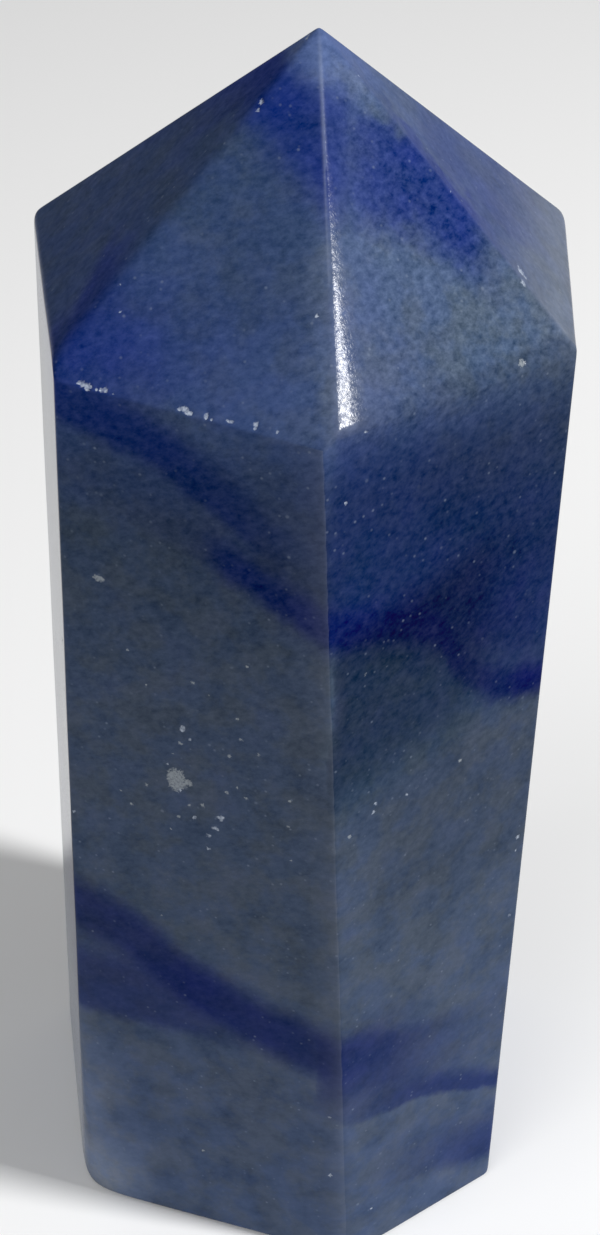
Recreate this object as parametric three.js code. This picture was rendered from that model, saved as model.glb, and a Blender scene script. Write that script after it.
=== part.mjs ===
// Hand-cut, polished tower of dumortierite quartz, in millimetres with +Z up.
// One piece of stone: six slightly uneven sides under a six-faceted point, standing on a flat sawn
// base. The front ridge of the point carries a narrow polished flat on its right, which ends at the
// shoulder. Grinding left the tip blunt, the point's ridges crisp, the front shoulders firm, and the
// shoulders and the base corners rounder towards the back and the left.
// Seen from the front (looking along +Y), azimuth 0 is the right and -90 the viewer's side.
import * as THREE from 'three';
import { ConvexGeometry } from 'three/addons/geometries/ConvexGeometry.js';
import { mergeVertices } from 'three/addons/utils/BufferGeometryUtils.js';

// Heights above the base. Below flareHeight the upright edges grow rounder, down to the base.
const shoulderHeight = 60;
const flareHeight = 16;
const tip = new THREE.Vector3(0.4, 0, 73.6);
const tipWear = 0.25;

// The six sides, in order round the tower, each with the facet of the point above it.
// inradius is the side's distance from the axis at shoulder height. lean is the side's turn away
// from upright, positive where the tower widens downwards. slope is the facet's angle to the base.
// corner holds the radii between this side and the next one: at the shoulder, along the upright
// edge, and in plan where that edge meets the base.
const sides = [
  {
    name: 'front left', azimuth: -106.5, inradius: 14.65, lean: -1.25,
    facet: { azimuth: -101, slope: 43.5 }, corner: { shoulder: 0.3, edge: 0.4, base: 3.5 },
  },
  {
    name: 'front right', azimuth: -53, inradius: 13.1, lean: 1.5,
    facet: { azimuth: -51.5, slope: 47.5 }, corner: { shoulder: 0.4, edge: 0.4, base: 0.6 },
  },
  {
    name: 'right', azimuth: -2.5, inradius: 13.95, lean: -0.25,
    facet: { azimuth: -2.5, slope: 46 }, corner: { shoulder: 1.2, edge: 1, base: 1.4 },
  },
  {
    name: 'back right', azimuth: 68.5, inradius: 14, lean: 0,
    facet: { azimuth: 68, slope: 45 }, corner: { shoulder: 0.8, edge: 0.7, base: 1.2 },
  },
  {
    name: 'back left', azimuth: 124, inradius: 13.8, lean: -0.25,
    facet: { azimuth: 123, slope: 44 }, corner: { shoulder: 1.2, edge: 1, base: 1.6 },
  },
  {
    name: 'left', azimuth: 189.5, inradius: 13.55, lean: 0.5,
    facet: { azimuth: 186.5, slope: 43 }, corner: { shoulder: 0.4, edge: 0.5, base: 2.2 },
  },
];

// The narrow flat on the front ridge: it starts on the ridge this far above the shoulder, is this
// wide where it ends at the shoulder, and is turned this far from the front right facet.
const ridgeFlat = { start: 7.1, width: 1.1, turn: 4, wear: 0.2 };

// The radius of the edge round the base, and the number of steps in a rounded corner's arcs.
const baseEdgeRadius = 0.45;
const arcSteps = 5;
const planArcSteps = 6;

const stoneColour = 0x46506a;
const stoneRoughness = 0.3;
const samePoint = 1e-5;

// A direction from its azimuth round the tower and its elevation above the horizon, in degrees.
function direction(azimuth, elevation) {
  const a = THREE.MathUtils.degToRad(azimuth);
  const e = THREE.MathUtils.degToRad(elevation);
  return new THREE.Vector3(Math.cos(a) * Math.cos(e), Math.sin(a) * Math.cos(e), Math.sin(e));
}

// A face is a unit normal pointing out of the stone and its distance from the origin.
function faceThrough(name, normal, point) {
  return { name, normal, distance: normal.dot(point) };
}

function sideFace(side) {
  const foot = direction(side.azimuth, 0).multiplyScalar(side.inradius);
  foot.z = shoulderHeight;
  return faceThrough(`${side.name} side`, direction(side.azimuth, side.lean), foot);
}

function pointFacet(side) {
  // A facet that slopes by 45 degrees has its normal 45 degrees above the horizon.
  const normal = direction(side.facet.azimuth, 90 - side.facet.slope);
  return faceThrough(`${side.name} facet`, normal, tip);
}

// The point where three faces meet, each first moved inwards by inset, or null if they don't.
function meetingPoint([a, b, c], inset = 0) {
  const bc = b.normal.clone().cross(c.normal);
  const volume = a.normal.dot(bc);
  if (Math.abs(volume) < samePoint) {
    return null;
  }
  const ca = c.normal.clone().cross(a.normal);
  const ab = a.normal.clone().cross(b.normal);
  return bc.multiplyScalar(a.distance - inset)
    .addScaledVector(ca, b.distance - inset)
    .addScaledVector(ab, c.distance - inset)
    .divideScalar(volume);
}

// The flat on the front ridge, between the front left and the front right facet.
function ridgeFlatFace(leftFacet, rightFacet, frontSide) {
  const level = { normal: direction(0, 90), distance: shoulderHeight + ridgeFlat.start };
  const start = meetingPoint([leftFacet, rightFacet, level]);
  const along = frontSide.normal.clone().cross(rightFacet.normal).normalize();
  along.multiplyScalar(Math.sign(along.x));
  const foot = meetingPoint([leftFacet, rightFacet, frontSide]).addScaledVector(along, ridgeFlat.width);
  const hinge = foot.clone().sub(start).normalize();
  const towardsLeft = rightFacet.normal.clone().cross(hinge);
  towardsLeft.multiplyScalar(Math.sign(towardsLeft.dot(leftFacet.normal)));
  const turn = THREE.MathUtils.degToRad(ridgeFlat.turn);
  const normal = rightFacet.normal.clone().multiplyScalar(Math.cos(turn));
  normal.addScaledVector(towardsLeft, Math.sin(turn));
  return faceThrough('ridge flat', normal, start);
}

// Every set of three faces, with the point where they meet once each is moved inwards by inset,
// kept where that point is inside or on all the faces.
function cornersOf(faces, inset = 0) {
  const corners = [];
  for (let i = 0; i < faces.length; i += 1) {
    for (let j = i + 1; j < faces.length; j += 1) {
      for (let k = j + 1; k < faces.length; k += 1) {
        const meeting = [faces[i], faces[j], faces[k]];
        const point = meetingPoint(meeting, inset);
        const inside = point && faces.every(
          (face) => face.normal.dot(point) <= face.distance - inset + samePoint,
        );
        if (inside) {
          corners.push({ faces: meeting, point });
        }
      }
    }
  }
  return corners;
}

// A direction part of the way from one direction to another, along the shortest arc.
function between(from, to, share) {
  const angle = from.angleTo(to);
  if (angle < samePoint) {
    return from.clone();
  }
  return from.clone().multiplyScalar(Math.sin((1 - share) * angle))
    .addScaledVector(to, Math.sin(share * angle))
    .divideScalar(Math.sin(angle));
}

// Points on the ball that rounds a corner, facing out between the normals of its three faces.
function ballPoints(centre, radius, [a, b, c]) {
  const points = [];
  for (let i = 0; i <= arcSteps; i += 1) {
    const left = between(a.normal, b.normal, i / arcSteps);
    const right = between(a.normal, c.normal, i / arcSteps);
    for (let j = 0; j <= i; j += 1) {
      const outwards = i === 0 ? left : between(left, right, j / i);
      points.push(centre.clone().addScaledVector(outwards, radius));
    }
  }
  return points;
}

// Points on a corner of the base: the upright edge has a wide radius in plan, and a small radius
// rolls from it under the base.
function baseCornerPoints(first, second, base, planRadius) {
  const centre = meetingPoint([
    { normal: first.normal, distance: first.distance - planRadius },
    { normal: second.normal, distance: second.distance - planRadius },
    { normal: base.normal, distance: base.distance - baseEdgeRadius },
  ]);
  const points = [];
  for (let i = 0; i <= planArcSteps; i += 1) {
    const outwards = between(first.normal, second.normal, i / planArcSteps);
    const rim = centre.clone().addScaledVector(outwards, planRadius - baseEdgeRadius).setZ(baseEdgeRadius);
    for (let j = 0; j <= arcSteps; j += 1) {
      const rolled = between(outwards, base.normal, j / arcSteps);
      points.push(rim.clone().addScaledVector(rolled, baseEdgeRadius));
    }
  }
  return points;
}

// Points round the upright edge between two sides at flareHeight.
function flarePoints(first, second, radius) {
  const centre = meetingPoint([
    { normal: first.normal, distance: first.distance - radius },
    { normal: second.normal, distance: second.distance - radius },
    { normal: direction(0, 90), distance: flareHeight },
  ]);
  return Array.from({ length: planArcSteps + 1 }, (_, i) => {
    const outwards = between(first.normal, second.normal, i / planArcSteps);
    return centre.clone().addScaledVector(outwards, radius);
  });
}

// The radius of a corner at the shoulder, by the two neighbouring sides that it lies between.
function shoulderRadius(corner) {
  const at = sides.findIndex((side, index) => {
    const next = sides[(index + 1) % sides.length];
    const touches = (name) => corner.faces.some((face) => face.name.startsWith(`${name} `));
    return touches(side.name) && touches(next.name);
  });
  return sides[at].corner.shoulder;
}

function towerPoints() {
  const sideFaces = sides.map(sideFace);
  const facets = sides.map(pointFacet);
  const flat = ridgeFlatFace(facets[0], facets[1], sideFaces[1]);
  const base = faceThrough('base', direction(0, -90), new THREE.Vector3());
  const faces = [...sideFaces, ...facets, flat, base];
  const points = [];

  // The tip: every facet's plane passes through it, and a small ball blunts it.
  const tipCorners = cornersOf(facets, tipWear);
  tipCorners.forEach(({ faces: meeting, point }) => points.push(...ballPoints(point, tipWear, meeting)));

  const otherCorners = cornersOf(faces).filter(
    (corner) => corner.point.distanceTo(tip) > samePoint && !corner.faces.includes(base),
  );
  otherCorners.forEach((corner) => {
    const radius = corner.faces.includes(flat) ? ridgeFlat.wear : shoulderRadius(corner);
    const centre = meetingPoint(corner.faces, radius);
    points.push(...ballPoints(centre, radius, corner.faces));
  });

  sides.forEach((side, index) => {
    const next = (index + 1) % sides.length;
    points.push(...flarePoints(sideFaces[index], sideFaces[next], side.corner.edge));
    points.push(...baseCornerPoints(sideFaces[index], sideFaces[next], base, side.corner.base));
  });
  return points;
}

// The tower is the convex body round all these points, moved so that the middle of its outline in
// plan is the origin.
function towerGeometry() {
  const hull = new ConvexGeometry(towerPoints());
  hull.deleteAttribute('normal');
  const geometry = mergeVertices(hull, samePoint);
  geometry.computeBoundingBox();
  const middle = geometry.boundingBox.getCenter(new THREE.Vector3());
  geometry.translate(-middle.x, -middle.y, -geometry.boundingBox.min.z);
  geometry.computeVertexNormals();
  return geometry;
}

const polishedStone = new THREE.MeshStandardMaterial({
  color: stoneColour,
  roughness: stoneRoughness,
  metalness: 0,
  flatShading: true,
});

const tower = new THREE.Mesh(towerGeometry(), polishedStone);
tower.name = 'dumortierite_tower';

const dumortierite = new THREE.Group();
dumortierite.add(tower);

export default dumortierite;
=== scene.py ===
import math

import bmesh
import bpy
import numpy as np
from mathutils import Matrix, Vector, kdtree, noise


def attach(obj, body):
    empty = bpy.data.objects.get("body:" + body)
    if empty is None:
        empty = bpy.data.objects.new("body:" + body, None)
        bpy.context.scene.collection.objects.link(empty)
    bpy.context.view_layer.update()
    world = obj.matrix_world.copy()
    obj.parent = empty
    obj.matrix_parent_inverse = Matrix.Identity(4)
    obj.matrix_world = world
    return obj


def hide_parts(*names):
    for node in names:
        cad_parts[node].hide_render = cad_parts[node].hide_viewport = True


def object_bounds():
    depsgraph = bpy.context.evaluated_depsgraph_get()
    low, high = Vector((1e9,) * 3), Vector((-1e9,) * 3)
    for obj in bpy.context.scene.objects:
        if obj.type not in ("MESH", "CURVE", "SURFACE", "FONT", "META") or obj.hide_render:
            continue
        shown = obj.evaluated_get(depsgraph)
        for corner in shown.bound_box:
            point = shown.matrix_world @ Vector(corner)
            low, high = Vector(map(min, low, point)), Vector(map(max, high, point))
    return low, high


# A polished tower of dumortierite quartz on a pale floor. The solid's flat faces are read from the
# frame, and a fine skin is laid over them, with worn edges, ripples of the lap, chips and specks.
# Lengths are in millimetres until a mesh or an object is made, with +Z up and -Y at the viewer.
MM = 0.001
NODE = "dumortierite_tower"

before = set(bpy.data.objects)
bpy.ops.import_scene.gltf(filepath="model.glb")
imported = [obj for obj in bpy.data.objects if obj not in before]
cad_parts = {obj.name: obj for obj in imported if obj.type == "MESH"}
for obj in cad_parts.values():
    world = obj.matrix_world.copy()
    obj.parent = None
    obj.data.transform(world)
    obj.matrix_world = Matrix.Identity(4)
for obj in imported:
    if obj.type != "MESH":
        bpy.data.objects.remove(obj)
cad_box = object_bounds()

# The camera: where it stands, how far it looks down and how far it is rolled, for a photograph of
# 600 x 1235 pixels with a focal length in pixels.
PHOTO_WIDTH = 600
PHOTO_HEIGHT = 1235
FOCAL_PIXELS = 2200
SENSOR_WIDTH = 36
CAMERA_PLACE = Vector((0.626, -102.41, 112.96))
LOOK_DOWN = math.radians(36.1)
CAMERA_ROLL = math.radians(1.49)

# Radii of the worn edges: the six upright edges, the six shoulder edges and the six ridges of the
# point, in order round the tower, starting at the front. An upright edge is between the side of
# the same number and the next one, and so is a ridge. Below FLARE_HEIGHT an upright edge widens to
# its base radius.
FLARE_HEIGHT = 16
UPRIGHT_RADII = (0.4, 0.5, 1.0, 0.7, 1.0, 0.5)
BASE_RADII = (3.5, 0.6, 1.4, 1.2, 1.6, 3.4)
SHOULDER_RADII = (0.35, 0.45, 1.0, 0.8, 1.0, 0.7)
RIDGE_RADII = (0.12, 0.12, 0.5, 0.5, 0.6, 1.6)
# The narrow flat's edges: towards the front left facet, the front right facet and the side below.
FLAT_RADII = (0.1, 7, 0.06)
RIM_RADIUS = 0.45
# How near to a point an edge's softness counts for it, the least softness, and the rounds in which
# the points settle on the worn surface.
WEAR_REACH = 0.8
LEAST_SOFTNESS = 0.003
WEAR_ROUNDS = 10

# The narrow flat's polish fades out over POLISH_EDGE beside the flat. Where the flat meets the
# front left facet it is POLISH_START, and from there it grows over POLISH_GROWTH.
POLISH_EDGE = 0.04
POLISH_START = 0.35
POLISH_GROWTH = 0.25
# The front ridge's painted highlight line: half its width, and how far it keeps from the narrow
# flat.
RIDGE_LINE = 0.06
RIDGE_CLEARANCE = 0.02
# The painted sheen, a pale reflection painted into the colour: its strength and reach on the
# right facet, round the narrow flat for places no deeper than POINT_DEPTH under the facets, and on
# the front left side along the front edge.
FACET_PAINTED_SHEEN = (1, 0.06)
FLAT_PAINTED_SHEEN = (0.5, 0.15)
EDGE_PAINTED_SHEEN = (0.42, 0.8)
POINT_DEPTH = 0.2

# The waves of the lap as (length, height), which start at the base and are whole at FULL_WAVES.
LAP_WAVES = ((9.0, 0.035), (2.6, 0.009))
FULL_WAVES = 2

# Spacing of the skin's mesh: along the coarse middle of a face, at its edges and at the rim.
FRONT_SPACING = 0.42
BACK_SPACING = 0.6
ROW_SPACING = 0.46
EDGE_SPACING = 0.04
RIM_SPACING = 0.06
SPACING_GROWTH = 0.15
GRADING_STEPS = 4001
# The rows of the base, as shares of the way from its middle to its rim.
BASE_ROWS = (0.2, 0.4, 0.6, 0.75, 0.86, 0.93, 0.96, 0.98, 0.99)
# Edges longer than SHORT_EDGE are cut up within this many radii of a mark.
FINE_REACH = 1.5
FINE_CUTS = 5
SHORT_EDGE = 0.15

# Small damage and inclusions: where each shows in the photograph, its radius, the depth that is
# gone, and its kind. Each is a cluster of crumbs, and SCATTER says how far the crumbs of a kind lie
# from the middle along the cluster, as a share of the radius. CRUMB_SPREAD is how far they lie
# beside it and CRUMB_SIZES their least and greatest radius, as shares too.
MARK_SEED = 5
CRUMBS = 9
SCATTER = {"chip": 0.7, "cream": 0.25}
CLUSTER_STRETCH = (2, 1, 1)
CRUMB_SPREAD = 0.2
CRUMB_SIZES = (0.35, 0.8)
# A crumb's outline: how much its radius varies, and how finely. It fades out at CRUMB_EDGE radii,
# and its kind and its depth rise from there at these rates. It is cut off at CRUMB_REACH radii.
CRUMB_RAGGED = 0.4
CRUMB_GRAIN = 11
CRUMB_EDGE = 1.25
KIND_RISE = 2
DEPTH_RISE = 1.6
CRUMB_REACH = 1.6
MARKS = (
    ((307, 36), 0.2, 0.05, "chip"),
    ((260, 100), 0.24, 0.05, "chip"),
    ((255, 109), 0.16, 0.04, "chip"),
    ((359, 75), 0.07, 0.02, "chip"),
    ((173, 187), 0.07, 0.02, "cream"),
    ((451, 191), 0.08, 0.02, "chip"),
    ((318, 316), 0.1, 0.02, "chip"),
    ((120, 311), 0.07, 0.02, "chip"),
    ((118, 284), 0.12, 0.03, "chip"),
    ((110, 294), 0.1, 0.03, "chip"),
    ((81, 383), 0.22, 0.06, "chip"),
    ((87, 386), 0.2, 0.06, "chip"),
    ((96, 389), 0.1, 0.04, "chip"),
    ((102, 391), 0.2, 0.05, "chip"),
    ((113, 393), 0.08, 0.03, "chip"),
    ((183, 409), 0.22, 0.06, "chip"),
    ((188, 413), 0.16, 0.05, "chip"),
    ((206, 416), 0.16, 0.05, "chip"),
    ((211, 419), 0.09, 0.03, "chip"),
    ((230, 421), 0.13, 0.04, "chip"),
    ((255, 426), 0.18, 0.05, "chip"),
    ((277, 432), 0.1, 0.03, "chip"),
    ((367, 432), 0.12, 0.04, "chip"),
    ((524, 274), 0.3, 0.08, "chip"),
    ((525, 282), 0.26, 0.07, "chip"),
    ((519, 266), 0.1, 0.04, "chip"),
    ((522, 363), 0.26, 0.03, "cream"),
    ((98, 579), 0.3, 0.03, "cream"),
    ((127, 650), 0.12, 0.02, "cream"),
    ((146, 685), 0.1, 0.02, "cream"),
    ((192, 683), 0.12, 0.02, "cream"),
    ((209, 696), 0.08, 0.02, "cream"),
    ((247, 667), 0.12, 0.02, "cream"),
    ((249, 685), 0.1, 0.02, "cream"),
    ((237, 719), 0.1, 0.02, "cream"),
    ((182, 729), 0.22, 0.03, "chip"),
    ((190, 740), 0.12, 0.02, "chip"),
    ((180, 744), 0.14, 0.02, "cream"),
    ((167, 764), 0.12, 0.02, "chip"),
    ((173, 754), 0.1, 0.02, "cream"),
    ((229, 756), 0.16, 0.02, "cream"),
    ((259, 755), 0.1, 0.02, "cream"),
    ((240, 740), 0.12, 0.02, "cream"),
    ((180, 781), 0.85, 0.03, "cream"),
    ((180, 791), 0.1, 0.02, "chip"),
    ((146, 784), 0.12, 0.02, "cream"),
    ((121, 791), 0.1, 0.02, "cream"),
    ((131, 804), 0.12, 0.02, "cream"),
    ((202, 805), 0.13, 0.02, "cream"),
    ((190, 806), 0.12, 0.02, "cream"),
    ((226, 793), 0.14, 0.02, "cream"),
    ((246, 799), 0.12, 0.02, "cream"),
    ((237, 789), 0.12, 0.02, "cream"),
    ((194, 817), 0.2, 0.03, "chip"),
    ((179, 817), 0.14, 0.02, "cream"),
    ((221, 819), 0.18, 0.03, "chip"),
    ((215, 829), 0.18, 0.03, "chip"),
    ((209, 836), 0.12, 0.02, "chip"),
    ((209, 849), 0.14, 0.02, "chip"),
    ((171, 829), 0.1, 0.02, "cream"),
    ((290, 802), 0.12, 0.02, "cream"),
    ((288, 827), 0.14, 0.02, "cream"),
    ((291, 861), 0.1, 0.02, "cream"),
    ((162, 916), 0.1, 0.02, "cream"),
    ((376, 804), 0.15, 0.03, "chip"),
    ((373, 813), 0.15, 0.03, "chip"),
    ((416, 790), 0.11, 0.02, "chip"),
    ((407, 795), 0.1, 0.02, "chip"),
    ((350, 837), 0.16, 0.02, "cream"),
    ((461, 761), 0.1, 0.02, "cream"),
    ((387, 667), 0.1, 0.02, "chip"),
    ((366, 676), 0.1, 0.02, "cream"),
    ((393, 651), 0.08, 0.02, "cream"),
    ((346, 504), 0.14, 0.04, "chip"),
    ((329, 1118), 0.12, 0.03, "chip"),
    ((347, 1163), 0.13, 0.03, "chip"),
    ((330, 1176), 0.14, 0.03, "chip"),
    ((372, 1209), 0.13, 0.03, "chip"),
    ((203, 1151), 0.12, 0.03, "cream"),
    ((518, 838), 0.16, 0.05, "chip"),
    ((516, 851), 0.13, 0.05, "chip"),
    ((510, 916), 0.16, 0.05, "chip"),
    ((62, 640), 0.12, 0.03, "chip"),
    ((64, 690), 0.12, 0.03, "chip"),
    ((66, 735), 0.12, 0.03, "chip"),
    ((72, 812), 0.13, 0.04, "chip"),
)

# The solid has six sides, numbered from 0, and six facets, numbered from SIDES, in the same order.
# The first four are the front left, front right, right and back right ones.
SIDES = 6
FLAT = 12
BASE = 13
# Polygons of the solid whose normals are this near to each other lie on one face. Turned by
# FIRST_SIDE degrees, the front left side and facet come first round the tower.
SAME_FACE = math.cos(math.radians(0.3))
FIRST_SIDE = 130


def camera_axes():
    """The camera's right, up and back directions."""
    forward = Vector((0, math.cos(LOOK_DOWN), -math.sin(LOOK_DOWN)))
    level = Vector((1, 0, 0))
    upright = level.cross(forward)
    right = math.cos(CAMERA_ROLL) * level + math.sin(CAMERA_ROLL) * upright
    up = math.cos(CAMERA_ROLL) * upright - math.sin(CAMERA_ROLL) * level
    return right, up, -forward


def make_camera():
    data = bpy.data.cameras.new("camera")
    data.sensor_width = SENSOR_WIDTH
    data.lens = SENSOR_WIDTH * FOCAL_PIXELS / PHOTO_HEIGHT
    data.clip_start = 0.005
    data.clip_end = 20
    camera = bpy.data.objects.new("camera", data)
    turn = Matrix(camera_axes()).transposed()
    camera.matrix_world = Matrix.Translation(CAMERA_PLACE * MM) @ turn.to_4x4()
    bpy.context.scene.collection.objects.link(camera)
    bpy.context.scene.camera = camera


def solid_faces(mesh):
    """The normals and distances (mm) of the solid's flat faces: six sides, six facets of the point
    in the same order, the narrow flat on the front ridge, and the base."""
    groups = []
    for polygon in sorted(mesh.polygons, key=lambda p: -p.area):
        group = next((g for g in groups if g[0].dot(polygon.normal) > SAME_FACE), None)
        if group:
            group[2] += polygon.area
        else:
            distance = polygon.normal.dot(mesh.vertices[polygon.vertices[0]].co) / MM
            groups.append([polygon.normal.copy(), distance, polygon.area])
    groups.sort(key=lambda g: -g[2])
    upright = [g for g in groups if abs(g[0].z) < 0.3]
    sloping = [g for g in groups if g[0].z > 0.3]
    base = next(g for g in groups if g[0].z < -0.9)

    def turn(group):
        return (math.degrees(math.atan2(group[0].y, group[0].x)) + FIRST_SIDE) % 360

    sides = sorted(upright[:SIDES], key=turn)
    facets = sorted(sloping[:SIDES], key=turn)
    faces = [*sides, *facets, sloping[SIDES], base]
    return np.array([g[0][:] for g in faces]), np.array([g[1] for g in faces])


normals, distances = solid_faces(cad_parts[NODE].data)


def meeting_point(*faces):
    picked = list(faces)
    return np.linalg.solve(normals[picked], distances[picked])


def photo_point(px, py):
    """The point on the solid's flat faces that shows at a pixel of the photograph."""
    right, up, back = camera_axes()
    ray = -back + right * (px - PHOTO_WIDTH / 2) / FOCAL_PIXELS
    ray = np.array(ray + up * (PHOTO_HEIGHT / 2 - py) / FOCAL_PIXELS)
    place = np.array(CAMERA_PLACE)
    facing = normals @ ray < 0
    reach = (distances - normals @ place)[facing] / (normals @ ray)[facing]
    return place + ray * reach.max()


def graded(length, coarse, first=EDGE_SPACING, last=EDGE_SPACING):
    """Shares of a length from 0 to 1, close together at both ends and coarse between."""
    along = np.linspace(0, length, GRADING_STEPS)
    spacing = np.minimum(first + along * SPACING_GROWTH, last + (length - along) * SPACING_GROWTH)
    density = 1 / np.minimum(spacing, coarse)
    count = np.concatenate([[0], np.cumsum((density[1:] + density[:-1]) / 2 * np.diff(along))])
    stops = np.linspace(0, count[-1], math.ceil(count[-1]) + 1)
    return np.interp(stops, count, along) / length


def sharp_grid():
    """The points and faces of a closed grid over the sharp solid. Its columns follow the upright
    edges and the ridges, and its rows follow the base, the shoulder and the tip."""
    foot = []
    shoulder = []
    for k in range(SIDES):
        after = (k + 1) % SIDES
        foot.append(meeting_point(k, after, BASE))
        tops = [meeting_point(k, after, SIDES + k), meeting_point(k, after, SIDES + after)]
        shoulder.append(min(tops, key=lambda p: p[2]))
    foot = np.array(foot)
    shoulder = np.array(shoulder)
    tip = meeting_point(SIDES, SIDES + 2, SIDES + 4)

    def ring(corners):
        """A row of points through the six corners, denser towards each."""
        row = []
        for k in range(SIDES):
            width = np.linalg.norm(foot[k] - foot[k - 1])
            shares = graded(width, FRONT_SPACING if k < 2 else BACK_SPACING)[:-1, None]
            row.append(corners[k - 1] * (1 - shares) + corners[k] * shares)
        return np.concatenate(row)

    middle = foot.mean(0)
    slope = np.linalg.norm(tip - shoulder, axis=1).mean()
    side_rows = graded(shoulder[0, 2], ROW_SPACING, RIM_SPACING)
    point_rows = graded(slope, ROW_SPACING)[1:-1]
    rings = [ring(middle + (foot - middle) * share) for share in BASE_ROWS]
    rings += [ring(foot + (shoulder - foot) * share) for share in side_rows]
    rings += [ring(shoulder + (tip - shoulder) * share) for share in point_rows]
    columns = len(rings[0])
    points = np.concatenate([*rings, [tip], [middle]])
    faces = []
    for row in range(len(rings) - 1):
        for column in range(columns):
            a = row * columns + column
            b = row * columns + (column + 1) % columns
            faces.append((a, b, b + columns, a + columns))
    top = (len(rings) - 1) * columns
    for column in range(columns):
        after = (column + 1) % columns
        faces.append((top + column, top + after, len(points) - 2))
        faces.append((after, column, len(points) - 1))
    return points, faces


def refined(points, faces, centres, radii):
    """The same surface with a finer mesh round each of the given points."""
    bm = bmesh.new()
    corners = [bm.verts.new(p) for p in points]
    for face in faces:
        bm.faces.new([corners[i] for i in face])
    tree = kdtree.KDTree(len(points))
    for index, point in enumerate(points):
        tree.insert(point, index)
    tree.balance()
    near = {
        edge
        for centre, radius in zip(centres, radii)
        for _, index, _ in tree.find_range(centre, radius * FINE_REACH + ROW_SPACING / 2)
        for edge in corners[index].link_edges
        if edge.calc_length() > SHORT_EDGE
    }
    bmesh.ops.subdivide_edges(bm, edges=list(near), cuts=FINE_CUTS, use_grid_fill=True)
    bm.verts.ensure_lookup_table()
    bm.verts.index_update()
    fine_points = np.array([v.co[:] for v in bm.verts])
    fine_faces = [tuple(v.index for v in f.verts) for f in bm.faces]
    bm.free()
    return fine_points, fine_faces


def softness(a, b, radius):
    """How softly two faces meet so that their edge is worn as deep as by a round of this radius."""
    half = math.acos(np.clip(normals[a] @ normals[b], -1, 1)) / 2
    return radius * (1 - math.cos(half)) / math.log(2)


def local_softness(gaps, pairs):
    """The softness of the edges (face, face, softness) that are near each point."""
    total = 0
    soft = 0
    for a, b, value in pairs:
        weight = np.exp((gaps[:, a] + gaps[:, b]) / WEAR_REACH)
        total = total + weight
        soft = soft + weight * value
    return np.maximum(soft / total, LEAST_SOFTNESS)[:, None]


def soft_join(heights, slopes, soft):
    """The smooth highest of several surfaces' heights over each point, with its slope."""
    highest = heights.max(1, keepdims=True)
    shares = np.exp((heights - highest) / soft)
    total = shares.sum(1, keepdims=True)
    slope = ((shares / total)[:, :, None] * slopes).sum(1)
    return highest + soft * np.log(total), slope


def worn(points):
    """The points moved onto the solid with its edges worn round, the directions out of it there,
    and their gaps from its flat faces, negative inside. The sides are joined first, then the facets
    of the point, then these two, and last the base."""
    order = [(k, (k + 1) % SIDES) for k in range(SIDES)]
    flare = np.clip(points[:, 2] / FLARE_HEIGHT, 0, 1)
    uprights = [
        (a, b, softness(a, b, 1) * (BASE_RADII[a] + (UPRIGHT_RADII[a] - BASE_RADII[a]) * flare))
        for a, b in order
    ]
    ridges = [
        (SIDES + a, SIDES + b, softness(SIDES + a, SIDES + b, RIDGE_RADII[a])) for a, b in order
    ]
    ridges += [(FLAT, SIDES + k, softness(FLAT, SIDES + k, FLAT_RADII[k])) for k in (0, 1)]
    shoulders = [
        (k, SIDES + k, softness(k, SIDES + k, SHOULDER_RADII[k])) for k in range(SIDES)
    ]
    shoulders.append((1, FLAT, softness(1, FLAT, FLAT_RADII[2])))
    rim = softness(0, BASE, RIM_RADIUS)
    for _ in range(WEAR_ROUNDS):
        gaps = points @ normals.T - distances
        slopes = np.broadcast_to(normals, (len(points), *normals.shape))
        sides, sides_slope = soft_join(
            gaps[:, :SIDES], slopes[:, :SIDES], local_softness(gaps, uprights),
        )
        top, top_slope = soft_join(
            gaps[:, SIDES:BASE], slopes[:, SIDES:BASE], local_softness(gaps, ridges),
        )
        upper, upper_slope = soft_join(
            np.hstack([sides, top]),
            np.stack([sides_slope, top_slope], 1),
            local_softness(gaps, shoulders),
        )
        height, towards = soft_join(
            np.hstack([upper, gaps[:, BASE:]]), np.stack([upper_slope, slopes[:, BASE]], 1), rim,
        )
        points = points - height * towards / (towards ** 2).sum(1, keepdims=True)
    outward = towards / np.linalg.norm(towards, axis=1, keepdims=True)
    return points, outward, gaps


def traces(gaps):
    """How much each point is on the polished flat, the front ridge's painted highlight and the
    painted sheen.
    """
    left_facet, right_facet, flat = gaps[:, SIDES], gaps[:, SIDES + 1], gaps[:, FLAT]
    polished = (1 + flat / POLISH_EDGE).clip(0, 1)
    polished *= (POLISH_START + (flat - left_facet) / POLISH_GROWTH).clip(0, 1)
    # The line along the front ridge where a highlight is painted.
    ridge = np.exp(-(((left_facet + right_facet) / RIDGE_LINE) ** 2)) * (flat < -RIDGE_CLEARANCE)
    on_point = gaps[:, SIDES:FLAT].max(axis=1) > -POINT_DEPTH
    on_front_left = (gaps[:, 0] > gaps[:, 1]) & (gaps[:, 0] > left_facet)
    # Painted sheen: a pale reflection on the right facet, round the flat and along the front edge.
    painted_sheen = 0
    for (strength, reach), gap, where in (
        (FACET_PAINTED_SHEEN, gaps[:, SIDES + 2], 1),
        (FLAT_PAINTED_SHEEN, flat, on_point),
        (EDGE_PAINTED_SHEEN, gaps[:, 1], on_front_left),
    ):
        painted_sheen = painted_sheen + strength * np.exp(gap / reach) * where
    return {"polished": polished, "ridge": ridge, "painted_sheen": painted_sheen.clip(0, 1)}


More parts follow.
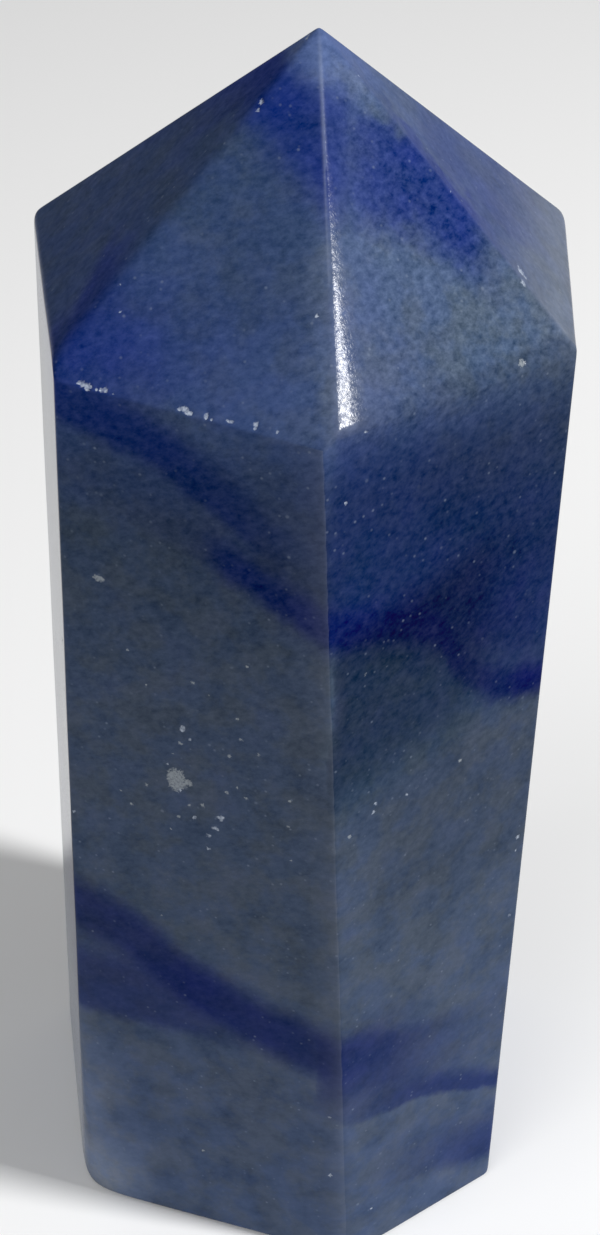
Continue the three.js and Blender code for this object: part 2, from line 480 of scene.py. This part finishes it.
def rippled(points, outward, polished):
    """The points pressed in by the slight waves that lapping leaves on the polished faces."""
    depth = np.zeros(len(points))
    for length, height in LAP_WAVES:
        swell = np.array([noise.noise(Vector(p) / length) for p in points])
        depth += height * (0.5 + 0.5 * swell).clip(0, 1)
    depth *= np.clip(points[:, 2] / FULL_WAVES, 0, 1) * (1 - polished)
    return points - outward * depth[:, None]


def crumbs():
    """The centre, radius, depth and kind of every crumb of the marks."""
    random = np.random.default_rng(MARK_SEED)
    found = []
    for pixel, radius, depth, kind in MARKS:
        centre = photo_point(*pixel)
        along = random.normal(size=3) * CLUSTER_STRETCH
        along *= SCATTER[kind] * radius / np.linalg.norm(along)
        for _ in range(CRUMBS):
            place = centre + along * random.uniform(-1, 1)
            place = place + random.normal(size=3) * radius * CRUMB_SPREAD
            found.append((place, radius * random.uniform(*CRUMB_SIZES), depth, kind))
    return found


def marked(points, outward, found):
    """The points pressed in at chips and inclusions, and how much of each kind each point is."""
    amount = {kind: np.zeros(len(points)) for kind in SCATTER}
    depth = np.zeros(len(points))
    for centre, radius, deep, kind in found:
        away = np.linalg.norm(points - centre, axis=1)
        for index in np.nonzero(away < CRUMB_REACH * radius)[0]:
            ragged = 1 + CRUMB_RAGGED * noise.noise(Vector(points[index]) * CRUMB_GRAIN)
            inside = np.clip(CRUMB_EDGE - away[index] / (radius * ragged), 0, 1)
            amount[kind][index] = max(amount[kind][index], min(1, inside * KIND_RISE))
            depth[index] = max(depth[index], deep * min(1, inside * DEPTH_RISE))
    return points - outward * depth[:, None], amount


def make_stone():
    points, faces = sharp_grid()
    centres = [photo_point(*pixel) for pixel, _, _, _ in MARKS]
    points, faces = refined(points, faces, centres, [radius for _, radius, _, _ in MARKS])
    points, outward, gaps = worn(points)
    wear = traces(gaps)
    points = rippled(points, outward, wear["polished"])
    points, amount = marked(points, outward, crumbs())
    points = np.clip(points, np.array(cad_box[0]) / MM, np.array(cad_box[1]) / MM)
    mesh = bpy.data.meshes.new("dumortierite")
    mesh.from_pydata((points * MM).tolist(), [], faces)
    mesh.shade_smooth()
    for name, values in {**wear, **amount}.items():
        attribute = mesh.attributes.new(name, "FLOAT", "POINT")
        attribute.data.foreach_set("value", values.astype(np.float32))
    stone = bpy.data.objects.new("dumortierite", mesh)
    bpy.context.scene.collection.objects.link(stone)
    return stone


class Shader:
    """Wires a material's nodes. An input may be a number, a vector or another node's output."""

    def __init__(self, name):
        self.material = bpy.data.materials.new(name)
        self.material.use_nodes = True
        self.tree = self.material.node_tree
        self.tree.nodes.clear()

    def add(self, kind, inputs, output=0, **settings):
        node = self.tree.nodes.new(kind)
        for name, value in settings.items():
            setattr(node, name, value)
        for socket, value in inputs.items():
            if isinstance(value, bpy.types.NodeSocket):
                self.tree.links.new(value, node.inputs[socket])
            else:
                node.inputs[socket].default_value = value
        return node.outputs[output] if node.outputs else None

    def math(self, operation, *values, clamp=False):
        inputs = dict(enumerate(values))
        return self.add("ShaderNodeMath", inputs, operation=operation, use_clamp=clamp)

    def times(self, *values):
        return self.math("MULTIPLY", *values)

    def attribute(self, name):
        return self.add("ShaderNodeAttribute", {}, "Fac", attribute_name=name)

    def grey(self, value):
        return self.add("ShaderNodeCombineColor", {0: value, 1: value, 2: value})

    def fade(self, value, start, end, low=0.0, high=1.0):
        """low before start, high after end, and smooth between."""
        inputs = {"Value": value, "From Min": start, "From Max": end, "To Min": low, "To Max": high}
        return self.add("ShaderNodeMapRange", inputs, interpolation_type="SMOOTHSTEP")

    def noise(self, vector, size, detail=2.0, rough=0.5, output=0):
        """Noise whose lumps are about this size."""
        inputs = {"Vector": vector, "Scale": 1 / size, "Detail": detail, "Roughness": rough}
        return self.add("ShaderNodeTexNoise", inputs, output)

    def swing(self, vector, size, detail=2.0, rough=0.5):
        """The same noise, but swinging to both sides of 0."""
        return self.math("SUBTRACT", self.noise(vector, size, detail, rough), 0.5)

    def share(self, value, low, span):
        """How far a value is along the span from low, from 0 to 1."""
        inputs = {"Value": value, "From Min": low, "From Max": low + span}
        return self.add("ShaderNodeMapRange", inputs)

    def curve(self, value, points):
        """A smooth curve through a few (x, y) points, for x and y of any size."""
        low = [min(p[i] for p in points) for i in (0, 1)]
        span = [max(max(p[i] for p in points) - low[i], 1e-6) for i in (0, 1)]
        node = self.tree.nodes.new("ShaderNodeFloatCurve")
        line = node.mapping.curves[0]
        places = [tuple((p[i] - low[i]) / span[i] for i in (0, 1)) for p in points]
        while len(line.points) < len(places):
            line.points.new(0.5, 0.5)
        for point, place in zip(line.points, places):
            point.location = place
            point.handle_type = "AUTO_CLAMPED"
        node.mapping.update()
        self.tree.links.new(self.share(value, low[0], span[0]), node.inputs["Value"])
        return self.math("MULTIPLY_ADD", node.outputs[0], span[1], low[1])

    def ramp(self, value, stops):
        """A blend of colours through stops (value, colour), for values of any size."""
        low = stops[0][0]
        span = stops[-1][0] - low
        node = self.tree.nodes.new("ShaderNodeValToRGB")
        elements = node.color_ramp.elements
        while len(elements) < len(stops):
            elements.new(0.5)
        for element, (place, shade) in zip(elements, stops):
            element.position = (place - low) / span
            element.color = colour(*shade)
        self.tree.links.new(self.share(value, low, span), node.inputs[0])
        return node.outputs[0]

    def mix(self, share, first, second, blend="MIX"):
        node = self.tree.nodes.new("ShaderNodeMix")
        node.data_type = "RGBA"
        node.blend_type = blend
        for socket, value in ((0, share), (6, first), (7, second)):
            if isinstance(value, bpy.types.NodeSocket):
                self.tree.links.new(value, node.inputs[socket])
            else:
                node.inputs[socket].default_value = value
        return node.outputs[2]

    def tinted(self, first, second):
        return self.mix(1.0, first, second, blend="MULTIPLY")


def colour(red, green, blue):
    """A colour given as 8-bit sRGB, in linear light."""
    def linear(part):
        part = part / 255
        return part / 12.92 if part < 0.04045 else ((part + 0.055) / 1.055) ** 2.4

    return (linear(red), linear(green), linear(blue), 1)


# The blue layers in the stone. Each is a curved sheet: line gives its height over x at the front,
# tilt its rise per millimetre towards the back, and strength how blue it is over x. Above and below
# are the distances over which the blue starts and ends fading on its two sides, and depth is where
# it starts and ends fading out towards the back, or in if the first is the greater.
THROUGH = (40, 50)
SKIN = (-9.5, -6)
LAYERS = (
    {
        "line": ((-15, 75), (-3, 69.3), (-0.7, 68.1), (1, 67.3), (3, 66.5)),
        "tilt": 0.25, "depth": (4, 8),
        "strength": ((-15, 0.6), (-4, 0.85), (-1.5, 0.9), (0.6, 0.9), (1.6, 0.7), (2.4, 0)),
        "above": (0.4, 2.2), "below": (0.4, 2.9),
    },
    {
        "line": (
            (0, 67.8), (1.9, 67), (3.4, 66.3), (4.9, 65.6), (6.4, 64.8), (7.9, 63.8), (10, 62.3),
        ),
        "tilt": 0.25, "depth": (-2.6, -0.6),
        "strength": ((0.8, 0), (1.8, 0.55), (4, 0.8), (6.5, 0.9), (8, 0.85), (9.2, 0.4), (10.4, 0)),
        "above": (0.5, 1.8), "below": (0.8, 2.4),
    },
    {
        "line": ((-15, 66), (-6, 69.5), (-2, 72)), "tilt": 0.0, "depth": (-1, -4),
        "strength": ((-15, 0), (-9, 0.25), (-5, 0.6), (-2, 0.75), (-0.5, 0)),
        "above": (1, 3), "below": (1, 3.5),
    },
    {
        "line": ((-15, 66), (6, 66), (9, 63.5), (15, 60)), "tilt": 0.0, "depth": (1, -2.5),
        "strength": ((-15, 0), (5, 0), (7, 0.4), (12, 0.25), (15, 0)),
        "above": (2, 6), "below": (1.5, 4),
    },
    {
        "line": ((-15, 60.5), (-8, 60.8), (-3, 60.6), (2, 60)), "tilt": 0.4, "depth": (-7, -2.5),
        "strength": ((-15, 0.9), (-10, 0.8), (-7, 0.6), (-4, 0.3), (-1, 0.1), (2, 0)),
        "above": (0.3, 2.2), "below": (0.2, 1.2),
    },
    {
        "line": (
            (-15, 61), (-11, 58.6), (-9, 58.2), (-6.7, 57.5), (-4.3, 56), (-1.9, 54.3), (3, 50.3),
        ),
        "tilt": 0.25, "depth": SKIN,
        "strength": ((-15, 0.9), (-9, 0.9), (-5, 0.85), (-2.5, 0.7), (-0.8, 0.4), (0.6, 0)),
        "above": (0.8, 3.2), "below": (0.3, 1.5),
    },
    {
        "line": (
            (-15, 57), (-4.3, 52.4), (-1.4, 51), (2, 49.1), (4.1, 48), (5.7, 47.2), (7, 46.3),
            (8.2, 44.6), (9, 42.6), (10.3, 40.6), (12.1, 39.2), (15, 38),
        ),
        "tilt": 0.2, "depth": THROUGH,
        "strength": (
            (-15, 0), (-6, 0.1), (-3.5, 0.6), (-1, 0.9), (1.8, 0.9), (2.8, 1), (4.5, 0.95),
            (7, 0.95), (9.5, 0.7), (11, 0.75), (13.5, 0.95), (15, 0.9),
        ),
        "above": (0.3, 2.3), "below": (0.15, 1.6),
    },
    {
        "line": ((-15, 60), (0, 53), (5, 50.5), (9, 47), (15, 43)),
        "tilt": 0.2, "depth": (2, 12),
        "strength": (
            (-15, 0.2), (-4, 0.25), (1.6, 0.4), (2.6, 0.72), (7, 0.72), (12, 0.7), (15, 0.6),
        ),
        "above": (4.0, 15), "below": (2.0, 6),
    },
    {
        "line": ((-15, 34), (2.2, 38.9), (9.4, 38.4), (12.8, 37), (15, 36)),
        "tilt": 0.25, "depth": (-1, 7),
        "strength": ((2.3, 0), (3.1, 0.3), (9, 0.3), (11, 0.2), (15, 0.1)),
        "above": (8.5, 12), "below": (-3, 2),
    },
    {
        "line": (
            (-15, 26.3), (-11.6, 25.1), (-9.2, 24.3), (-6.9, 22.8), (-4.6, 21.0), (-1.6, 19.6),
            (0.7, 18.9), (4, 18.2),
        ),
        "tilt": 0.2, "depth": THROUGH,
        "strength": (
            (-15, 0.7), (-9, 0.75), (-4, 0.8), (0, 0.85), (2.6, 0.8), (3.6, 0.55), (6, 0.3), (9, 0),
        ),
        "above": (0.9, 3.3), "below": (1.0, 3.1),
    },
    {
        "line": ((-15, 16), (-11.5, 16.6), (-7, 17.1), (-4.6, 17.6), (0, 17)),
        "tilt": 0.45, "depth": (-8, 6),
        "strength": ((-15, 0.55), (-9, 0.65), (-5, 0.6), (-3, 0.3), (-1, 0)),
        "above": (3.5, 6.5), "below": (0.0, 1.4),
    },
    {
        "line": ((2, 18.6), (3.8, 18.6), (5.9, 17.8), (8, 16.4), (12, 15)),
        "tilt": 0.2, "depth": (-6, 2),
        "strength": ((2.2, 0), (3.0, 0.62), (6, 0.66), (8, 0.5), (10, 0.3), (12, 0.1)),
        "above": (0.3, 2.0), "below": (3.0, 5.5),
    },
    {
        "line": (
            (2, 13.7), (4, 13.1), (6.1, 12.1), (8.6, 11.1), (10.4, 10.1), (12.2, 8.7), (13.5, 7.6),
            (15, 6.5),
        ),
        "tilt": 0.2, "depth": THROUGH,
        "strength": ((0.5, 0), (3, 0.2), (5, 0.4), (8, 0.65), (11, 0.75), (15, 0.75)),
        "above": (0.5, 2.2), "below": (0.0, 0.6),
    },
    {
        "line": ((6, 6), (10.3, 4), (12.3, 2.6), (15, 1.6)), "tilt": 0.2, "depth": (1, 10),
        "strength": ((5, 0), (9, 0.35), (12, 0.68), (15, 0.8)),
        "above": (0.5, 5.0), "below": (0.3, 1.6),
    },
    {
        "line": ((-15, 66), (-4, 60), (5, 55), (15, 51)), "tilt": 0.2, "depth": (11, 2),
        "strength": ((-15, 0.5), (-5, 0.7), (3, 0.9), (9, 0.5), (15, 0)),
        "above": (0.3, 2.8), "below": (0.2, 1.6),
    },
    {
        "line": ((-15, 42), (-8, 40), (0, 36), (6, 30), (15, 25)), "tilt": 0.1, "depth": (6, -4),
        "strength": ((-15, 0.75), (-8, 0.6), (2, 0.3), (6, 0), (15, 0)),
        "above": (0.2, 3.6), "below": (0.2, 1.2),
    },
)
# Broad darker parts of the pale stone, given like the layers.
SHADES = (
    {
        "line": ((-15, 34), (2.2, 37), (6, 37.4), (9.4, 38), (12.8, 37), (15, 36)),
        "tilt": 0.25, "depth": (-1, 7),
        "strength": ((2.3, 0), (3.1, 0.48), (9, 0.45), (11, 0.25), (15, 0.1)),
        "above": (9.5, 13), "below": (-2.5, 2),
    },
    {
        "line": ((-15, 59.8), (15, 59.8)), "tilt": 0.0, "depth": (0, 8),
        "strength": ((1, 0), (4, 0.08), (9, 0.22), (15, 0.28)),
        "above": (0.1, 0.7), "below": (8, 14),
    },
    {
        "line": ((-15, 33), (15, 33)), "tilt": 0.0, "depth": (0, 10),
        "strength": ((4, 0), (8, 0.16), (15, 0.16)),
        "above": (3, 7), "below": (3, 8),
    },
)
# The plane at the front in which the layers' lines are given.
LAYER_PLANE = -13
STONE_MIDDLE = Vector((0, 0, 40))

# The size and reach of the wandering of the layers' edges.
WANDER = ((3.2, 0.9), (0.7, 0.5))
# Colours of the pale stone over z below the shoulder, and over x in the point and at its apex.
PALE_BY_HEIGHT = (
    (0, (72, 85, 111)), (12, (70, 82, 106)), (25, (66, 77, 96)), (42, (62, 73, 93)),
    (52, (52, 64, 84)), (56, (51, 65, 93)), (60, (61, 78, 111)),
)
PALE_TOP = (
    (-7, (56, 72, 102)), (-2, (50, 66, 96)), (0.3, (54, 70, 100)), (1.5, (78, 93, 117)),
    (10, (72, 87, 110)), (14, (78, 91, 112)),
)
APEX = ((-1, (66, 83, 128)), (1, (82, 98, 136)))
FOOT_COLOUR = (116, 126, 146)
CORNER_COLOUR = (68, 84, 114)
# Colours of the deep blue, and of the painted sheen (a pale reflection painted into the colour),
# over z.
RICH_BY_HEIGHT = (
    (0, (26, 44, 98)), (20, (15, 30, 86)), (38, (0, 13, 80)), (48, (0, 20, 80)),
    (56, (6, 30, 80)), (62, (20, 41, 108)),
)
PAINTED_SHEEN_BY_HEIGHT = ((60.5, (134, 140, 152)), (64, (78, 86, 138)), (73, (84, 98, 142)))
PAINTED_SHEEN_STRENGTH = 0.36
# Tints, as factors of red, green and blue: of the pale stone's two hues, and of the right's blue.
COOL_HUE = (0.91, 0.97, 1.05, 1)
WARM_HUE = (1.08, 1.04, 0.95, 1)
RIGHT_TINT = (0.78, 1.05, 1.14, 1)
CLOUD_STRENGTH = 0.6
# The specks' spacing, the distances from their middles at which they start and end fading, and how
# rarely a place in that spacing has one.
SPECKS = ((0.45, 0.04, 0.26, 0.6), (1.3, 0.03, 0.12, 0.6))
SPECK_COLOUR = (140, 152, 172)
SPECK_STRENGTH = 0.28
# The painted highlight along the front ridge: its colour and strength.
RIDGE_HIGHLIGHT_COLOUR = (170, 180, 200)
RIDGE_HIGHLIGHT_STRENGTH = 0.22
CREAM_COLOUR = (174, 181, 185)
CREAM_STRENGTH = 0.5
CHIP_COLOUR = (182, 192, 208)
PIT_DEPTH = 0.02


def sheet(s, layer, x, y, height, depth):
    """How much of a layer there is at each point of the stone."""
    behind = s.math("SUBTRACT", y, LAYER_PLANE)
    level = s.math("MULTIPLY_ADD", behind, layer["tilt"], s.curve(x, layer["line"]))
    over = s.math("SUBTRACT", height, level)
    under = s.math("SUBTRACT", level, height)
    amount = s.times(s.fade(over, *layer["above"], 1, 0), s.fade(under, *layer["below"], 1, 0))
    amount = s.times(amount, s.curve(x, layer["strength"]))
    fading = layer["depth"][0] < layer["depth"][1]
    return s.times(amount, s.fade(depth, *sorted(layer["depth"]), fading, not fading))


def left_by(s, sheets):
    """The share of the stone that none of the sheets takes."""
    rest = 1.0
    for amount in sheets:
        rest = s.times(rest, s.math("SUBTRACT", 1, amount))
    return rest


def wandering(s, place):
    """The places' x, y and z, moved to and fro a little at two sizes."""
    bent = place
    for size, reach in WANDER:
        wander = s.add(
            "ShaderNodeVectorMath",
            {0: s.noise(place, size, 3, 0.6, output="Color"), 1: (0.5, 0.5, 0.5)},
            operation="SUBTRACT",
        )
        moved = {0: wander, 1: (reach, reach, reach), 2: bent}
        bent = s.add("ShaderNodeVectorMath", moved, operation="MULTIPLY_ADD")
    parts = s.tree.nodes.new("ShaderNodeSeparateXYZ")
    s.tree.links.new(bent, parts.inputs[0])
    return parts.outputs


def pale_stone(s, place, x, z, in_point):
    """The stone between the layers, bluer towards the left of the point and palest at the foot."""
    foot_share = s.times(s.fade(x, -12, -6, 1, 0), s.fade(z, 1, 9, 1, 0))
    rim_share = s.times(s.fade(x, -13, -8, 0.5, 0), s.fade(z, 8, 20, 1, 0))
    foot_share = s.math("MAXIMUM", foot_share, rim_share)
    pale = s.mix(foot_share, s.ramp(z, PALE_BY_HEIGHT), colour(*FOOT_COLOUR))
    near_corner = s.curve(x, ((-9, 0), (-4, 1), (0.3, 1), (1.5, 0)))
    near_corner = s.times(near_corner, s.fade(z, 60, 64, 1, 0))
    pale_top = s.mix(near_corner, s.ramp(x, PALE_TOP), colour(*CORNER_COLOUR))
    pale_top = s.mix(s.fade(z, 69.5, 72), pale_top, s.ramp(x, APEX))
    hue = s.fade(s.noise(place, 2.1, 4, 0.6), 0.4, 0.62)
    return s.tinted(s.mix(in_point, pale, pale_top), s.mix(hue, COOL_HUE, WARM_HUE))


def layered_stone(s, place, x, y, z, in_point, clouds):
    """The pale stone with its blue layers and its shades."""
    # The layers roll towards the back, and their ends in depth are ragged.
    roll = s.times(s.swing(place, 14, 1), s.fade(y, -8, 8, 0, 14))
    height = s.math("SUBTRACT", z, roll)
    depth = s.math("MULTIPLY_ADD", s.swing(place, 5, 3, 0.6), s.fade(y, -9, -3, 0, 16), y)
    plain = left_by(s, [sheet(s, layer, x, y, height, depth) for layer in LAYERS])
    darkening = [sheet(s, shade, x, y, height, depth) for shade in SHADES]
    deep = s.math("MULTIPLY_ADD", clouds, CLOUD_STRENGTH, s.math("SUBTRACT", 1, plain), clamp=True)
    body = s.mix(deep, pale_stone(s, place, x, z, in_point), s.ramp(z, RICH_BY_HEIGHT))
    body = s.tinted(body, s.grey(left_by(s, darkening)))

    # The front right side is bluer from the first shade up to below the shoulder.
    right_share = s.times(s.fade(z, 38, 41), s.fade(z, 51, 56, 1, 0))
    in_shade = s.math("MULTIPLY", darkening[0], 2, clamp=True)
    right_share = s.times(s.math("MAXIMUM", right_share, in_shade), s.fade(x, 1.5, 3.5))
    return s.mix(right_share, body, s.tinted(body, RIGHT_TINT))


def woolly_grain(s, place):
    """The grain of the needles, which runs up to the right through the stone."""
    fibre_space = s.add(
        "ShaderNodeMapping",
        {"Vector": place, "Rotation": (0, math.radians(-25), 0), "Scale": (1.5, 1.2, 1)},
        vector_type="TEXTURE",
    )
    return s.swing(fibre_space, 0.36, 3, 0.7)


def pale_specks(s, place):
    """Specks of quartz and mica in drifts: many tiny ones and a few larger."""
    drift = s.fade(s.noise(place, 4, 2, 0.5), 0.35, 0.65, 0.35, 1)
    sizes = []
    for spacing, small, large, rarity in SPECKS:
        cells = s.tree.nodes.new("ShaderNodeTexVoronoi")
        s.tree.links.new(place, cells.inputs["Vector"])
        cells.inputs["Scale"].default_value = 1 / spacing
        chosen = s.add("ShaderNodeSeparateColor", {0: cells.outputs["Color"]})
        speck = s.fade(cells.outputs["Distance"], small, large, 1, 0)
        sizes.append(s.times(speck, s.fade(chosen, rarity, 1)))
    return s.times(s.math("MAXIMUM", *sizes), drift)


def stone_material():
    s = Shader("dumortierite_quartz")
    metres = s.add("ShaderNodeTexCoord", {}, "Object")
    place = s.add("ShaderNodeVectorMath", {0: metres, "Scale": 1 / MM}, operation="SCALE")
    x, y, z = wandering(s, place)
    in_point = s.fade(z, 57, 61)
    clouds = s.swing(place, 2.4, 4, 0.6)
    body = layered_stone(s, place, x, y, z, in_point, clouds)
    # Painted sheen: a pale reflection on the right facet, round the flat and along the front edge.
    painted_sheen = s.attribute("painted_sheen")
    body = s.mix(s.times(painted_sheen, PAINTED_SHEEN_STRENGTH), body, s.ramp(z, PAINTED_SHEEN_BY_HEIGHT))

    # The grain is strongest on the point's right, and weaker under the painted sheen.
    wool = woolly_grain(s, place)
    coarse = s.times(in_point, s.fade(x, -1, 3, 0, 0.5))
    coarse = s.math("ADD", coarse, s.fade(z, 5, 60, 0.22, 0.75))
    coarse = s.times(coarse, s.math("MULTIPLY_ADD", painted_sheen, -0.6, 1))
    tone = s.math("MULTIPLY_ADD", clouds, s.fade(z, 10, 50, 0.8, 0.45), s.times(wool, coarse))
    body = s.tinted(body, s.grey(s.math("ADD", tone, 1)))
    body = s.mix(1.0, body, s.grey(s.times(tone, 0.055)), blend="ADD")
    body = s.mix(s.times(pale_specks(s, place), SPECK_STRENGTH), body, colour(*SPECK_COLOUR))

    # Crushed white chips, cream inclusions, and a painted highlight along the front ridge.
    crumble = s.noise(place, 0.12, 2, 0.6)
    chip = s.fade(s.math("MULTIPLY_ADD", crumble, 1.4, s.attribute("chip")), 1.0, 1.9)
    cream = s.fade(s.math("MULTIPLY_ADD", crumble, 1.4, s.attribute("cream")), 1.1, 1.9)
    ridge = s.attribute("ridge")
    body = s.mix(s.times(ridge, RIDGE_HIGHLIGHT_STRENGTH), body, colour(*RIDGE_HIGHLIGHT_COLOUR))
    body = s.mix(s.times(cream, CREAM_STRENGTH), body, colour(*CREAM_COLOUR))
    crushed = s.times(chip, s.fade(s.noise(place, 0.25, 2, 0.6), 0.35, 0.65, 0.35, 0.85))
    body = s.mix(crushed, body, colour(*CHIP_COLOUR))

    # Satin polish with the stone's fine pits. The narrow flat is glossier, and its pits show dark.
    pits = s.noise(place, 0.13, 2, 0.6)
    lap = s.noise(place, 0.6, 2, 0.5)
    rough = s.math("MULTIPLY_ADD", pits, 0.06, 0.08)
    rough = s.math("MULTIPLY_ADD", chip, 0.4, rough, clamp=True)
    relief = s.math("MULTIPLY_ADD", lap, 0.5, s.times(pits, 0.5))
    relief = s.math("MULTIPLY_ADD", wool, 0.5, relief)
    deepest = PIT_DEPTH * MM
    bump = s.add("ShaderNodeBump", {"Strength": 0.3, "Distance": deepest, "Height": relief})
    coat_bump = s.add("ShaderNodeBump", {"Strength": 0.6, "Distance": deepest, "Height": pits})
    pitted = s.fade(s.noise(place, 0.22, 3, 0.7), 0.34, 0.62, 0.02, 0.42)
    glossy = s.math("MULTIPLY_ADD", ridge, 0.5, s.attribute("polished"), clamp=True)
    surface = s.add(
        "ShaderNodeBsdfPrincipled",
        {
            "Base Color": body, "Roughness": rough, "Normal": bump, "IOR": 1.56,
            "Specular IOR Level": 0.012, "Coat Weight": s.times(glossy, pitted), "Coat IOR": 1.5,
            "Coat Roughness": 0.22, "Coat Normal": coat_bump,
        },
    )
    s.add("ShaderNodeOutputMaterial", {"Surface": surface})
    return s.material


# The floor's radius in metres, and the strength of the white world round the scene.
FLOOR_RADIUS = 1.5
WORLD_STRENGTH = 0.22


def make_floor():
    bpy.ops.mesh.primitive_circle_add(
        vertices=96, radius=FLOOR_RADIUS, fill_type="NGON", location=(0, 0, 0),
    )
    floor = bpy.context.object
    floor.name = "floor"
    s = Shader("pale_floor")
    metres = s.add("ShaderNodeTexCoord", {}, "Object")
    soft = s.noise(metres, 0.3, 2, 0.5)
    tone = s.mix(soft, colour(247, 247, 247), colour(250, 250, 250))
    surface = s.add("ShaderNodeBsdfPrincipled", {"Base Color": tone, "Roughness": 0.9})
    s.add("ShaderNodeOutputMaterial", {"Surface": surface})
    floor.data.materials.append(s.material)


def area_light(name, place, size, power):
    """A soft round light at a place (mm), facing the middle of the stone."""
    data = bpy.data.lights.new(name, "AREA")
    data.shape = "DISK"
    data.size = size * MM
    data.energy = power
    light = bpy.data.objects.new(name, data)
    light.location = Vector(place) * MM
    light.rotation_mode = "QUATERNION"
    light.rotation_quaternion = (Vector(place) - STONE_MIDDLE).to_track_quat("Z", "Y")
    bpy.context.scene.collection.objects.link(light)


def make_lights():
    area_light("key", (423, -125, 473), 70, 3.5)
    area_light("fill", (-300, -350, 500), 500, 1.3)
    world = bpy.data.worlds.new("studio")
    world.use_nodes = True
    background = world.node_tree.nodes["Background"]
    background.inputs["Color"].default_value = (1, 1, 1, 1)
    background.inputs["Strength"].default_value = WORLD_STRENGTH
    bpy.context.scene.world = world
    bpy.context.scene.view_settings.view_transform = "Standard"


make_camera()
stone = make_stone()
stone.data.materials.append(stone_material())
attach(stone, "root")
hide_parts(NODE)
make_floor()
make_lights()
